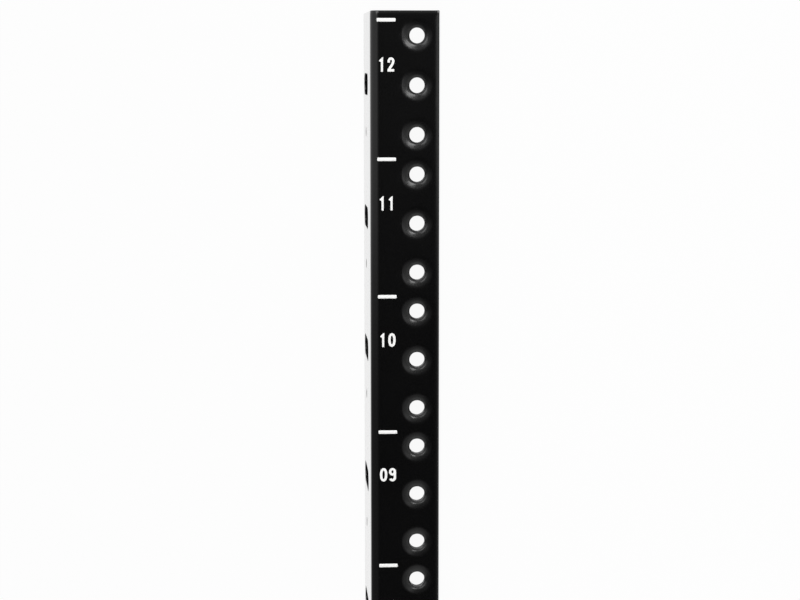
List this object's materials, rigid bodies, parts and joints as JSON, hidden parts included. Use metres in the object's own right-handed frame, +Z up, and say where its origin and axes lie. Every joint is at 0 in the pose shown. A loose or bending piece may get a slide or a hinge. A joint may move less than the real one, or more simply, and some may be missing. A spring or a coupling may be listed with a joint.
{
  "type": "rack mounting rail",
  "caption": "Folded L-section steel rail for equipment racks, with extruded threaded holes in its face, unit numbers beside them and depth slots in its flange.",
  "frame": {"origin": "centre of the footprint, on the floor that the two free edges rest on", "axes": "+X along the rail towards unit 12, +Z up; the fold is on top, the face looks down the -Y side and up, the flange slopes away to +Y"},
  "size_m": [0.5366, 0.0552, 0.0203],
  "materials": {
    "powder_coated_steel": "satin black powder coat with white printed numbers and unit lines"
  },
  "bodies": {
    "root": {"rack_rail": "powder_coated_steel"}
  },
  "joints": []
}
